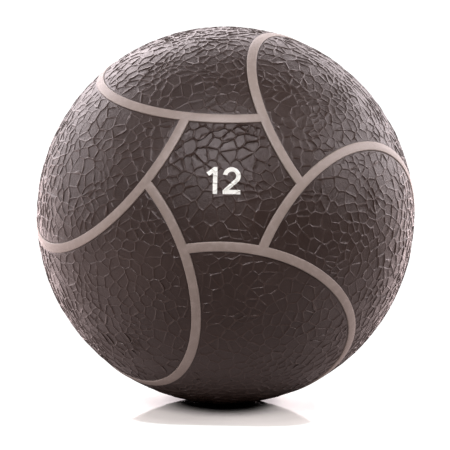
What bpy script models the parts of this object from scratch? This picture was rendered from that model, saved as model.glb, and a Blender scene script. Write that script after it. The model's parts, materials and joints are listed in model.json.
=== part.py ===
"""Rubber medicine ball, 240 mm across: a butyl bladder and its needle valve inside
two thick half shells of heavy rubber, a thread winding, and a cover of two hexagonal
and six S-shaped panels with six raised ribs in the seams.

The seams are built on one rule. Every seam runs along small circles of one size,
centred 60 degrees from a pole: six round the front pole and six round the rear one.
A front circle touches a rear circle on the equator, so the seam swings from one to
the other without a kink. Each seam starts at a T-junction on its neighbour.

Everything is laid out with the front pole along +Z and then leant over by one empty,
so that the front hexagon faces -Y and a little upwards. Metres, +Z up, and the origin
at the ball's centre. Directions from the centre are unit vectors.
"""

import math

import bmesh
import bpy
from mathutils import Matrix, Vector
from mathutils.geometry import delaunay_2d_cdt

# ---------------------------------------------------------------- dimensions (metres)
GAP = 0.0003             # clearance between neighbouring pieces

BALL_R = 0.1200          # over the ribs
PANEL_R = 0.1192         # over the panels, at the floor of their texture
PANEL_IN_R = 0.1163      # underside of panels and ribs
WINDING_R = 0.1153
CORE_R = 0.1138
WINDING_IN_R = CORE_R + GAP
CORE_IN_R = 0.0821       # sets the weight of the ball
BLADDER_R = 0.0814
BLADDER_IN_R = 0.0794

RIB_W = 0.0055           # width of a seam rib
RIB_SHOULDER = 0.0007    # rounded edge of a rib
# Rounded edge: (inset from the rib's side, drop below its crown), in shoulder sizes
RIB_EDGE = ((0.0, 1.0), (0.35, 0.25), (1.2, 0.0))

# Valve: radii about its axis, and distances of its faces from the ball's centre
VALVE_R = 0.0046         # body of the housing
VALVE_FACE = 0.1190      # flat outer face
FLANGE_R = 0.0090
FLANGE_IN = 0.0744
FLANGE_OUT = 0.0772
AIRWAY_R = 0.0011
BORE_R = VALVE_R + GAP   # hole for the valve through the shells

PLUG_R = 0.0023          # needle plug
PLUG_IN = 0.0990
PLUG_OUT = 0.1188
PLUG_IN_BEVEL_W = 0.0004   # bevel at the inner end: across the radius
PLUG_IN_BEVEL_H = 0.0006   # and along the axis
PLUG_OUT_BEVEL = 0.0002
NEEDLE_R = 0.0004        # needle hole
NEEDLE_MOUTH_R = 0.0010  # its flared mouth
NEEDLE_MOUTH_DEPTH = 0.0016

# ---------------------------------------------------------------- angles
POLE_LEAN = math.radians(16.5)        # how far the front pole points above the horizontal
SECTOR_DEG = 60.0                     # pitch of the pattern round the pole, in degrees
SECTOR = math.radians(SECTOR_DEG)
HALF_SECTOR = math.radians(0.5 * SECTOR_DEG)

# Seam layout, in radians seen from the ball's centre
CIRCLE_POLAR = math.radians(60.0)     # polar angle of every seam circle's centre
# Angular radius at which neighbours across the equator touch
CIRCLE_R = math.acos(math.sin(CIRCLE_POLAR) * math.cos(HALF_SECTOR))
HALF_RIB = 0.5 * RIB_W / BALL_R
HALF_SEAM = HALF_RIB + GAP / PANEL_IN_R
STEP = math.radians(8.0)              # station spacing round a seam circle

# ---------------------------------------------------------------- mesh density
BORE_SIDES = 24
HOUSING_SIDES = 32
PLUG_SIDES = 24
EQUATOR_SIDES = 64
COARSE_LEVEL = 3                      # icosphere levels for points inside a shell patch
FINE_LEVEL = 4
RIM_CLEAR = math.radians(5.0)         # inner points keep this far from a patch's edge
SHARP_ANGLE = math.radians(35)

# ---------------------------------------------------------------- finishes
BLADDER_FINISH = dict(colour=(0.02, 0.02, 0.02), roughness=0.5)
HOUSING_FINISH = dict(colour=(0.012, 0.012, 0.012), roughness=0.45)
PLUG_FINISH = dict(colour=(0.05, 0.045, 0.042), roughness=0.55)
CORE_FINISH = dict(colour=(0.022, 0.021, 0.020), roughness=0.7)
WINDING_FINISH = dict(colour=(0.55, 0.52, 0.45), roughness=0.8)
PANEL_FINISH = dict(colour=(0.030, 0.022, 0.020), roughness=0.55)
RIB_FINISH = dict(colour=(0.285, 0.235, 0.212), roughness=0.6)    # taupe

FRONT = Vector((0, 0, 1))
REAR = Vector((0, 0, -1))


# ---------------------------------------------------------------- directions
def polar(theta, phi):
    """Unit vector at polar angle theta from +Z and azimuth phi from +X."""
    return Vector((
        math.sin(theta) * math.cos(phi),
        math.sin(theta) * math.sin(phi),
        math.cos(theta),
    ))


def azimuth(k):
    """Azimuth of sector k. Sector 0 lies along +Y and the count runs clockwise from +Z."""
    return math.radians(90.0 - SECTOR_DEG * k)


def half_turn(axis, point):
    return 2.0 * axis.dot(point) * axis - point


def cross_axes(axis):
    """Two unit vectors square to `axis` and to each other."""
    side = axis.orthogonal().normalized()
    return side, axis.cross(side)


def spokes(axis, count):
    """Unit vectors square to `axis`, evenly spaced round it."""
    side, other = cross_axes(axis)
    turns = [2 * math.pi * i / count for i in range(count)]
    return [side * math.cos(turn) + other * math.sin(turn) for turn in turns]


def sphere_points(level):
    """Evenly spread unit vectors: the corners of an icosphere."""
    ball = bmesh.new()
    bmesh.ops.create_icosphere(ball, subdivisions=level, radius=1.0)
    points = [vert.co.normalized() for vert in ball.verts]
    ball.free()
    return points


def bore_ring(surface_r):
    """Edge of the valve hole in a sphere of this radius, round the rear pole."""
    angle = BORE_R / surface_r
    return [
        REAR * math.cos(angle) + math.sin(angle) * spoke for spoke in spokes(REAR, BORE_SIDES)
    ]


def parallel(theta):
    """Circle of unit vectors at polar angle theta."""
    return [polar(theta, 2 * math.pi * i / EQUATOR_SIDES) for i in range(EQUATOR_SIDES)]


# ---------------------------------------------------------------- seam circles
def crossing(centre_1, radius_1, centre_2, radius_2):
    """The point nearer the front pole where two small circles on the unit sphere cross."""
    between = centre_1.dot(centre_2)
    spread = 1 - between * between
    x = (math.cos(radius_1) - between * math.cos(radius_2)) / spread
    y = (math.cos(radius_2) - between * math.cos(radius_1)) / spread
    z = math.sqrt(max(0.0, (1 - x * x - y * y - 2 * x * y * between) / spread))
    one, two = (
        x * centre_1 + y * centre_2 + sign * z * centre_1.cross(centre_2) for sign in (1, -1)
    )
    return one if one.z > two.z else two


class SeamCircle:
    """Front seam circle k, with angles counted from its touching point on the equator."""

    def __init__(self, k):
        self.centre = polar(CIRCLE_POLAR, azimuth(k))
        self.touch = polar(math.pi / 2, azimuth(k) + HALF_SECTOR)
        self.to_touch = (self.touch - self.centre * self.touch.dot(self.centre)).normalized()
        up = FRONT - self.centre * self.centre.z
        self.upward = (up - self.to_touch * up.dot(self.to_touch)).normalized()

    def point(self, angle, offset=0.0):
        radius = CIRCLE_R + offset
        around = math.cos(angle) * self.to_touch + math.sin(angle) * self.upward
        return self.centre * math.cos(radius) + math.sin(radius) * around

    def angle(self, point):
        return math.atan2(point.dot(self.upward), point.dot(self.to_touch)) % (2 * math.pi)


def stations(start, end):
    """Angles from start to end, on whole multiples of STEP in between.

    A multiple closer than 0.3 of a step to either end is left out.
    """
    low, high = min(start, end), max(start, end)
    first = math.ceil(low / STEP + 0.3)
    last = math.floor(high / STEP - 0.3)
    angles = [low] + [i * STEP for i in range(first, last + 1)] + [high]
    return angles if start == low else angles[::-1]


# ---------------------------------------------------------------- solids
def in_loops(x, y, loops):
    """Even-odd test of a point against closed plane polygons."""
    inside = False
    for loop in loops:
        for (x1, y1), (x2, y2) in zip(loop, loop[1:] + loop[:1]):
            if (y1 > y) != (y2 > y) and x < (x2 - x1) * (y - y1) / (y2 - y1) + x1:
                inside = not inside
    return inside


def shell(loops, inner_points, view, outer_r, inner_r):
    """A piece of a spherical shell bounded by closed loops of unit vectors.

    The patch is triangulated in the stereographic plane seen from `view`, where
    evenly spread points stay well shaped. The same directions serve the outer and
    the inner surface, and radial walls join them along every loop.
    """
    side, other = cross_axes(view)

    def flat(point):
        scale = 1.0 + point.dot(view)
        return Vector((point.dot(side) / scale, point.dot(other) / scale))

    plane_loops = [[tuple(flat(point)) for point in loop] for loop in loops]
    rim = [point for loop in loops for point in loop]
    kept = []
    for point in inner_points:
        # the projection runs to infinity opposite the view
        if point.dot(view) < -0.98:
            continue
        if max(point.dot(edge_point) for edge_point in rim) > math.cos(RIM_CLEAR):
            continue
        if in_loops(*flat(point), plane_loops):
            kept.append(point)
    directions = rim + kept

    edges, start = [], 0
    for loop in loops:
        count = len(loop)
        edges += [(start + i, start + (i + 1) % count) for i in range(count)]
        start += count
    # output type 0 is the whole hull; faces outside the loops are skipped below
    coords, _, faces, origins, _, _ = delaunay_2d_cdt(
        [flat(point) for point in directions], edges, [], 0, 1e-9, True
    )
    source = [ids[0] for ids in origins]

    solid = bmesh.new()
    outer = [solid.verts.new(point * outer_r) for point in directions]
    inner = [solid.verts.new(point * inner_r) for point in directions]
    for face in faces:
        x = sum(coords[i].x for i in face) / len(face)
        y = sum(coords[i].y for i in face) / len(face)
        if not in_loops(x, y, plane_loops):
            continue
        ids = [source[i] for i in face]
        solid.faces.new([outer[i] for i in ids])
        solid.faces.new([inner[i] for i in reversed(ids)])
    for i, j in edges:
        solid.faces.new([outer[i], outer[j], inner[j], inner[i]])
    return solid


def turned(profile, count, axis):
    """A closed solid of revolution from (radius, height) pairs along `axis`.

    The profile is a closed loop, so the solid keeps its through bore.
    """
    solid = bmesh.new()
    rings = [
        [solid.verts.new(spoke * radius + axis * height) for radius, height in profile]
        for spoke in spokes(axis, count)
    ]
    for i in range(count):
        one, two = rings[i], rings[(i + 1) % count]
        for j in range(len(profile)):
            k = (j + 1) % len(profile)
            solid.faces.new([one[j], two[j], two[k], one[k]])
    return solid


def turn_to_sector(solid, k):
    """Turn a solid made for sector 0 round the pole to sector k."""
    solid.transform(Matrix.Rotation(-SECTOR * k, 4, "Z"))
    return solid


def new_material(name, colour, roughness):
    material = bpy.data.materials.new(name)
    material.use_nodes = True
    shader = material.node_tree.nodes["Principled BSDF"]
    shader.inputs["Base Color"].default_value = (*colour, 1.0)
    shader.inputs["Roughness"].default_value = roughness
    shader.inputs["Metallic"].default_value = 0.0
    return material


def new_object(name, solid, finish, parent):
    """Turn a bmesh into a named object with a material of its own."""
    mesh = bpy.data.meshes.new(name)
    bmesh.ops.recalc_face_normals(solid, faces=solid.faces)
    solid.to_mesh(mesh)
    solid.free()
    mesh.shade_smooth()
    mesh.set_sharp_from_angle(angle=SHARP_ANGLE)
    mesh.materials.append(new_material(name, **finish))
    obj = bpy.data.objects.new(name, mesh)
    bpy.context.scene.collection.objects.link(obj)
    obj.parent = parent


# ---------------------------------------------------------------- inside the ball
def add_bladder(axis):
    """Air bladder, open at its neck."""
    solid = shell(
        [bore_ring(BLADDER_R)], sphere_points(COARSE_LEVEL), FRONT, BLADDER_R, BLADDER_IN_R
    )
    new_object("bladder", solid, BLADDER_FINISH, axis)


def add_valve_housing(axis):
    """Flanged housing with a stepped through bore."""
    socket_r = PLUG_R + GAP
    socket_floor = PLUG_IN - GAP
    profile = [
        (AIRWAY_R, FLANGE_IN),
        (FLANGE_R, FLANGE_IN),
        (FLANGE_R, FLANGE_OUT),
        (VALVE_R, FLANGE_OUT),
        (VALVE_R, VALVE_FACE),
        (socket_r, VALVE_FACE),
        (socket_r, socket_floor),
        (AIRWAY_R, socket_floor),
    ]
    new_object("valve_housing", turned(profile, HOUSING_SIDES, REAR), HOUSING_FINISH, axis)


def add_valve_core(axis):
    """Needle plug in the housing's socket."""
    profile = [
        (NEEDLE_R, PLUG_IN),
        (PLUG_R - PLUG_IN_BEVEL_W, PLUG_IN),
        (PLUG_R, PLUG_IN + PLUG_IN_BEVEL_H),
        (PLUG_R, PLUG_OUT - PLUG_OUT_BEVEL),
        (PLUG_R - PLUG_OUT_BEVEL, PLUG_OUT),
        (NEEDLE_MOUTH_R, PLUG_OUT),
        (NEEDLE_R, PLUG_OUT - NEEDLE_MOUTH_DEPTH),
    ]
    new_object("valve_core", turned(profile, PLUG_SIDES, REAR), PLUG_FINISH, axis)


def add_core(points, axis):
    """Weighted core: two half shells that meet on the plane of the equator."""
    front_rim = math.pi / 2 - 0.5 * GAP / CORE_IN_R
    solid = shell([parallel(front_rim)], points, FRONT, CORE_R, CORE_IN_R)
    new_object("core_half_front", solid, CORE_FINISH, axis)
    loops = [parallel(math.pi - front_rim), bore_ring(CORE_IN_R)]
    solid = shell(loops, points, REAR, CORE_R, CORE_IN_R)
    new_object("core_half_rear", solid, CORE_FINISH, axis)


def add_winding(points, axis):
    """Thread winding, with a belt of points on the equator to follow the core's facets."""
    off_belt = [point for point in points if abs(point.z) > math.sin(RIM_CLEAR)]
    winding_points = off_belt + parallel(math.pi / 2)
    # the hole carries on the cone of the hole through the core
    solid = shell([bore_ring(CORE_IN_R)], winding_points, FRONT, WINDING_R, WINDING_IN_R)
    new_object("winding_layer", solid, WINDING_FINISH, axis)


# ---------------------------------------------------------------- cover
def hexagon_loop():
    """Outline of the front hexagon."""
    loop = []
    for k in range(6):
        here, after = SeamCircle(k), SeamCircle(k + 1)
        corner = here.angle(
            crossing(here.centre, CIRCLE_R + HALF_SEAM, after.centre, CIRCLE_R + HALF_SEAM)
        )
        middle = here.angle(FRONT)
        for angle in stations(2 * middle - corner, corner)[:-1]:
            loop.append(here.point(angle, HALF_SEAM))
    return loop


def add_hexagons(points, axis):
    """The rear hexagon is the front one turned over, with the valve hole in it."""
    front_loop = hexagon_loop()
    solid = shell([front_loop], points, FRONT, PANEL_R, PANEL_IN_R)
    new_object("hex_panel_front", solid, PANEL_FINISH, axis)
    rear_loop = [half_turn(Vector((1, 0, 0)), point) for point in front_loop]
    solid = shell([rear_loop, bore_ring(PANEL_IN_R)], points, REAR, PANEL_R, PANEL_IN_R)
    new_object("hex_panel_rear", solid, PANEL_FINISH, axis)


def petal_loop(middle):
    """Outline of petal 0: two long sides and two short ones, unchanged by a half turn."""
    own, after = SeamCircle(0), SeamCircle(1)
    tip = crossing(own.centre, CIRCLE_R - HALF_SEAM, after.centre, CIRCLE_R + HALF_SEAM)
    long_side = [own.point(angle, -HALF_SEAM) for angle in stations(own.angle(tip), 0.0)]
    short_side = [after.point(angle, HALF_SEAM) for angle in stations(0.0, after.angle(tip))]
    half = short_side[:-1] + long_side[:-1]
    return half + [half_turn(middle, point) for point in half]


def add_petals(points, axis):
    middle = polar(math.pi / 2, azimuth(0))
    for k in range(6):
        solid = shell([petal_loop(middle)], points, middle, PANEL_R, PANEL_IN_R)
        new_object(f"petal_panel_{k + 1}", turn_to_sector(solid, k), PANEL_FINISH, axis)


def rib_lines():
    """The long lines of rib 0, one for each corner of its cross section."""
    own, after = SeamCircle(0), SeamCircle(1)
    shoulder = RIB_SHOULDER / BALL_R
    half_section = [(-HALF_RIB, PANEL_IN_R)] + [
        (-HALF_RIB + inset * shoulder, BALL_R - drop * RIB_SHOULDER) for inset, drop in RIB_EDGE
    ]
    # (angular offset from the seam's centre line, radius)
    section = half_section + [(-offset, radius) for offset, radius in half_section[::-1]]

    def line_stations(offset):
        """Angles from the T-junction with the next seam down to the equator."""
        junction = crossing(own.centre, CIRCLE_R + offset, after.centre, CIRCLE_R + HALF_SEAM)
        return stations(own.angle(junction), 0.0)

    # every line gets as many points as the shortest, dropping those next to the equator
    count = min(len(line_stations(offset)) for offset, _ in section)

    def half_line(offset):
        angles = line_stations(offset)[:count - 1] + [0.0]
        return [own.point(angle, offset) for angle in angles]

    lines = []
    for offset, radius in section:
        # past the equator the seam bends the other way, so the offset changes sign
        rear = [half_turn(own.touch, point) for point in half_line(-offset)[:-1]]
        lines.append([point * radius for point in half_line(offset) + rear[::-1]])
    return lines


def rib_solid():
    solid = bmesh.new()
    lines = [[solid.verts.new(point) for point in line] for line in rib_lines()]
    count = len(lines)
    for j in range(count):
        one, two = lines[j], lines[(j + 1) % count]
        for i in range(len(one) - 1):
            solid.faces.new([one[i], one[i + 1], two[i + 1], two[i]])
    # each end is closed with quads between mirrored corners of the section
    for end in (0, -1):
        for j in range(count // 2 - 1):
            corners = (j, j + 1, count - 2 - j, count - 1 - j)
            solid.faces.new([lines[corner][end] for corner in corners])
    return solid


def add_ribs(axis):
    for k in range(6):
        new_object(f"seam_rib_{k + 1}", turn_to_sector(rib_solid(), k), RIB_FINISH, axis)


# ---------------------------------------------------------------- the ball
def build():
    for obj in list(bpy.data.objects):
        bpy.data.objects.remove(obj, do_unlink=True)

    axis = bpy.data.objects.new("ball_axis", None)
    axis.rotation_euler = (math.pi / 2 - POLE_LEAN, 0.0, 0.0)
    bpy.context.scene.collection.objects.link(axis)

    points = sphere_points(FINE_LEVEL)
    add_bladder(axis)
    add_valve_housing(axis)
    add_valve_core(axis)
    add_core(points, axis)
    add_winding(points, axis)
    add_hexagons(points, axis)
    add_petals(points, axis)
    add_ribs(axis)
    bpy.context.view_layer.update()


build()
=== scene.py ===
"""Rubber medicine ball, centred on the origin, with its front pole towards -Y and leaning up.

The cover's raised veins are real geometry: a seeded spherical Voronoi network whose edges
are swept up into rounded ridges. It covers the whole ball, and each panel's share is cut
from it along the panel's own outline, then given a rolled edge, side walls and an
underside. The seam ribs are swept with a rounded section.

The cover is built in pattern axes: front pole along +Z, +X right, +Y up. Its lengths are
millimetres and its angles radians at the ball's centre. A "patch" is a tuple (unit
directions, [values at each point], triangles). Stage and materials are in metres.
"""

import json
import math

import bmesh
import bpy
import numpy as np
from mathutils import Matrix, Quaternion, Vector
from mathutils.bvhtree import BVHTree
from mathutils.geometry import delaunay_2d_cdt


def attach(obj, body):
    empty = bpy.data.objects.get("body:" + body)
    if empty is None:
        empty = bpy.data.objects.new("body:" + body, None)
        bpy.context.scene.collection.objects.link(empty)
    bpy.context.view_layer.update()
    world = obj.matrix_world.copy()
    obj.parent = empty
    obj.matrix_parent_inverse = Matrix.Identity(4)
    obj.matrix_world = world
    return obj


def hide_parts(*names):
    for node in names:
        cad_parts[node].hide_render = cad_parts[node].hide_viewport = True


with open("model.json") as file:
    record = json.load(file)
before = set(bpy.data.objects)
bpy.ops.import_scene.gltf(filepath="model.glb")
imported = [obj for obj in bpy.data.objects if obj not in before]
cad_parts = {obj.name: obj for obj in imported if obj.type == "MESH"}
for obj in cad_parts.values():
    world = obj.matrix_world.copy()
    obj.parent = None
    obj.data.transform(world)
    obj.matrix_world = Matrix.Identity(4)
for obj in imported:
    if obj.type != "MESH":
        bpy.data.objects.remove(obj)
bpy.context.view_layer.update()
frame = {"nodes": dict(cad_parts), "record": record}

MM = 0.001


# ---- Sizes -------------------------------------------------------------------------
def radii(node):
    """Inner and outer radius of a CAD piece."""
    mesh = frame["nodes"][node].data
    places = np.empty(len(mesh.vertices) * 3)
    mesh.vertices.foreach_get("co", places)
    r = np.linalg.norm(places.reshape(-1, 3), axis=1)
    return r.min() / MM, r.max() / MM


PANEL_IN, PANEL_R = radii("petal_panel_1")
RIB_IN, RIB_R = radii("seam_rib_1")
rear_axis = Vector(frame["record"]["mounts"][0]["axis"]).normalized()
LEAN = math.asin(-rear_axis.z)           # how far the front pole points above the horizontal
PATTERN_TO_FRAME = np.array(Matrix.Rotation(math.pi / 2 - LEAN, 3, "X"))

SECTORS = 6                              # petals, ribs and sides of each hexagon
SECTOR = 60.0                            # degrees
RIB_W = 5.9                              # over the rib's rounded shoulders
GAP = 0.1                                # between rib and panel
HALF_RIB = 0.5 * RIB_W / RIB_R
HALF_SEAM = HALF_RIB + GAP / PANEL_IN
CIRCLE_R = math.acos(0.75)               # seam circles' angular radius
CIRCLE_POLAR = math.radians(60.0)        # their centres' angle off the nearer pole
HOLE_R = 4.9                             # hole in the rear panel

EDGE_ROLL = 0.10                         # drop of the panel's rounded edge
EDGE_ROLL_W = 0.6                        # width over which it drops
EDGE_ROWS = (0.22, 0.5)                  # rows of points beside the outline, for the roll
WALL_ROW = 0.9                           # depth of the side walls' middle row below the edge

SEED = 20117
CELLS = 4200                             # vein cells on the whole ball
VEIN_H = 0.44                            # height of a vein over the cell floor
VEIN_W = 0.60                            # half width of a vein at its foot
RELAX = 1.0                              # share of the way each seed moves to its cell's centre
MERGE = 0.8                              # junctions closer than this become one
PULLS = ((34.0, 1.9), (15.0, 0.3))       # net distortion: wave length, reach
CREST_STEP = 1.7                         # spacing of points along a crest
BOW, WAVER = 0.055, 0.035                # sideways spread of a crest, as shares of its length
RING_STEPS = (0.22, 0.48, 0.74, 1.04)    # rings inside a cell, in vein half widths


# ---- Vector helpers ----------------------------------------------------------------
def unit(vectors, least=0.0):
    """Vectors scaled to length 1; lengths under `least` count as `least`."""
    axis = -1 if vectors.ndim > 1 else None
    return vectors / np.maximum(np.linalg.norm(vectors, axis=axis, keepdims=True), least)


def tangents(dirs):
    """Two perpendicular tangents at each direction."""
    ref = np.where(np.abs(dirs[:, 2:3]) < 0.9, np.array([[0, 0, 1.0]]), np.array([[1.0, 0, 0]]))
    u = unit(np.cross(ref, dirs))
    return u, np.cross(dirs, u)


def face_normals(points, tris):
    """Triangle normals, twice the area long."""
    start = points[tris[:, 0]]
    return np.cross(points[tris[:, 1]] - start, points[tris[:, 2]] - start)


def tri_edges(tris):
    return np.concatenate([tris[:, [0, 1]], tris[:, [1, 2]], tris[:, [2, 0]]])


def angle_to(dirs, aim):
    return np.arccos(np.clip(dirs @ aim, -1, 1))


def round_pairs(loop):
    """Each item of a closed loop with the one after it."""
    return zip(loop, loop[1:] + loop[:1])


def smoothstep(x):
    x = np.clip(x, 0, 1)
    return x * x * (3 - 2 * x)


# ---- Seam layout -------------------------------------------------------------------
def polar(theta, phi):
    flat = math.sin(theta)
    return np.array([flat * math.cos(phi), flat * math.sin(phi), math.cos(theta)])


class Seam:
    """Rib k's centre line: a front small circle and a rear one that touch on the equator."""

    def __init__(self, k):
        azimuth = math.radians(90.0 - SECTOR * k)
        self.front = polar(CIRCLE_POLAR, azimuth)
        self.rear = polar(math.pi - CIRCLE_POLAR, azimuth + math.radians(SECTOR))
        self.touch = polar(math.pi / 2, azimuth + math.radians(SECTOR / 2))
        self.plane = unit(np.cross(self.front, self.rear))
        # axes round the front circle: to the touching point, and towards the front pole
        self.to_touch = unit(self.touch - self.front * (self.touch @ self.front))
        up = np.array([0, 0, 1.0]) - self.front * self.front[2]
        self.to_pole = unit(up - self.to_touch * (up @ self.to_touch))

    def distance(self, dirs):
        """Angle off the centre line, positive outside the front circle."""
        from_rear = CIRCLE_R - angle_to(dirs, self.rear)
        return np.where(dirs @ self.plane >= 0, self.outside_front(dirs), from_rear)

    def outside_front(self, dirs):
        return angle_to(dirs, self.front) - CIRCLE_R

    def point(self, turn, offset):
        r = CIRCLE_R + offset
        around = math.cos(turn) * self.to_touch + math.sin(turn) * self.to_pole
        return self.front * math.cos(r) + math.sin(r) * around

    def turn_of(self, direction):
        return math.atan2(direction @ self.to_pole, direction @ self.to_touch) % (2 * math.pi)

    def half_turn(self, dirs):
        """Directions turned by 180 degrees about the touching point."""
        return 2 * np.outer(dirs @ self.touch, self.touch) - dirs


SEAMS = [Seam(k) for k in range(SECTORS + 1)]


def crossing(centre1, radius1, centre2, radius2):
    """Where two small circles cross, on the side nearer the front pole."""
    g = centre1 @ centre2
    x = (math.cos(radius1) - g * math.cos(radius2)) / (1 - g * g)
    y = (math.cos(radius2) - g * math.cos(radius1)) / (1 - g * g)
    z = math.sqrt(max(0.0, (1 - x * x - y * y - 2 * x * y * g) / (1 - g * g)))
    both = (x * centre1 + y * centre2 + s * z * np.cross(centre1, centre2) for s in (1, -1))
    first, second = both
    return first if first[2] > second[2] else second


# ---- Vein network: junctions and cells -----------------------------------------------
def hull_triangles(points):
    """Spherical Delaunay triangles of unit vectors, turned outwards, and their unit normals."""
    bm = bmesh.new()
    verts = [bm.verts.new(p * 100.0) for p in points]
    bm.verts.index_update()
    bmesh.ops.convex_hull(bm, input=verts, use_existing_faces=False)
    bmesh.ops.triangulate(bm, faces=bm.faces)
    tris = np.array([[v.index for v in f.verts] for f in bm.faces])
    bm.free()
    inward = (face_normals(points, tris) * points[tris].sum(1)).sum(1) < 0
    tris[inward] = tris[inward][:, ::-1]
    tris = turn_sagging_edges(points, tris)
    return tris, unit(face_normals(points, tris))


def turn_sagging_edges(points, tris):
    """Turns the diagonals that the hull cuts wrongly in nearly flat spots, which fold cells."""
    places = [tuple(map(float, p)) for p in points]
    tris = [tuple(map(int, t)) for t in tris]
    owner = {}
    for i, (a, b, c) in enumerate(tris):
        owner[a, b] = owner[b, c] = owner[c, a] = i
    todo = [e for e in owner if e[0] < e[1]]
    while todo:
        a, b = todo.pop()
        if (a, b) not in owner or (b, a) not in owner:
            continue
        i, j = owner[a, b], owner[b, a]
        c = sum(tris[i]) - a - b
        d = sum(tris[j]) - a - b
        (bx, by, bz), (cx, cy, cz), (dx, dy, dz) = (
            [end - start for end, start in zip(places[corner], places[a])] for corner in (b, c, d)
        )
        volume = (by * cz - bz * cy) * dx + (bz * cx - bx * cz) * dy + (bx * cy - by * cx) * dz
        if volume <= 1e-13:
            continue
        del owner[a, b], owner[b, a]
        tris[i], tris[j] = (a, d, c), (d, b, c)
        owner[a, d] = owner[d, c] = owner[c, a] = i
        owner[d, b] = owner[b, c] = owner[c, d] = j
        todo += [(a, d), (d, b), (b, c), (c, a)]
    return np.array(tris)


def rings_of_cells(tris, count):
    """For each seed, the triangles round it, in order."""
    after = [dict() for _ in range(count)]
    for i, (a, b, c) in enumerate(tris):
        after[a][b] = (c, i)
        after[b][c] = (a, i)
        after[c][a] = (b, i)
    rings = []
    for links in after:
        start = next(iter(links))
        here, ring = start, []
        while True:
            here, tri = links[here]
            ring.append(tri)
            if here == start or len(ring) > 40:
                break
        rings.append(ring)
    return rings


def voronoi_network(rng):
    """Junction directions, and the ring of junctions round each cell."""
    seeds = unit(rng.normal(size=(CELLS, 3)))
    tris, centres = hull_triangles(seeds)
    area = 0.5 * np.linalg.norm(face_normals(seeds, tris), axis=1)
    total = np.zeros((CELLS, 3))
    weight = np.zeros(CELLS)
    for j in range(3):
        np.add.at(total, tris[:, j], centres * area[:, None])
        np.add.at(weight, tris[:, j], area)
    mean = total / np.maximum(weight, 1e-12)[:, None]
    aim = np.where(weight[:, None] > 0, mean, seeds)
    seeds = unit(seeds + RELAX * (aim - seeds))
    tris, junctions = hull_triangles(seeds)
    return junctions, rings_of_cells(tris, CELLS)


def merge_junctions(junctions, rings):
    """Joins close junctions, making some four-way crossings; returns places and new numbers."""
    parent = np.arange(len(junctions))

    def find(i):
        while parent[i] != i:
            parent[i] = parent[parent[i]]
            i = parent[i]
        return i

    for ring in rings:
        for a, b in round_pairs(ring):
            if np.linalg.norm(junctions[a] - junctions[b]) < MERGE / PANEL_R:
                root_a, root_b = find(a), find(b)
                if root_a != root_b:
                    parent[root_b] = root_a
    root = np.array([find(i) for i in range(len(junctions))])
    summed = np.zeros_like(junctions)
    np.add.at(summed, root, junctions)
    return unit(summed, 1e-12), root


def waves(rng, dirs, length, count=22):
    """A smooth random field over the ball, about -1 to 1, with detail of the given length."""
    k = rng.normal(size=(count, 3))
    k *= (2 * math.pi * PANEL_R / length) / np.linalg.norm(k, axis=1)[:, None]
    phase = rng.uniform(0, 2 * math.pi, count)
    return np.sin(dirs @ k.T + phase).sum(1) / math.sqrt(count / 2) / 1.6


def distort(rng, dirs):
    """Pulls the net about, so that its cells are stretched here and crowded there."""
    for length, reach in PULLS:
        pull = np.stack([waves(rng, dirs, length) for _ in range(3)], 1) * reach / PANEL_R
        pull -= dirs * (pull * dirs).sum(1)[:, None]
        dirs = unit(dirs + pull, 1e-12)
    return dirs


def trace_crests(rng, junctions, root, rings):
    """Crest points, and each cell's outline and corners as point numbers."""
    points = list(junctions)
    edge_points = {}

    def along(a, b):
        """The points between two junctions, on a slightly bowed line."""
        key = (min(a, b), max(a, b))
        if key not in edge_points:
            p, q = junctions[key[0]], junctions[key[1]]
            length = np.linalg.norm(p - q) * PANEL_R
            n = max(1, int(round(length / CREST_STEP)))
            side = unit(np.cross(p, q - p), 1e-12)
            bow = rng.normal() * BOW * length / PANEL_R
            waver = rng.normal() * WAVER * length / PANEL_R
            ids = []
            for i in range(1, n):
                t = i / n
                sideways = bow * 4 * t * (1 - t) + waver * math.sin(2 * math.pi * t)
                ids.append(len(points))
                points.append(unit(p + (q - p) * t + side * sideways))
            edge_points[key] = ids
        ids = edge_points[key]
        return ids if key[0] == a else ids[::-1]

    outlines, corners = [], []
    for ring in rings:
        ids = []
        for i in ring:
            junction = int(root[i])
            if not ids or ids[-1] != junction:
                ids.append(junction)
        if len(ids) > 1 and ids[0] == ids[-1]:
            ids.pop()
        if len(ids) < 3:
            continue
        outline = []
        for a, b in round_pairs(ids):
            outline.append(a)
            outline += along(a, b)
        outlines.append(outline)
        corners.append(ids)
    return np.array(points), outlines, corners


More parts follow.
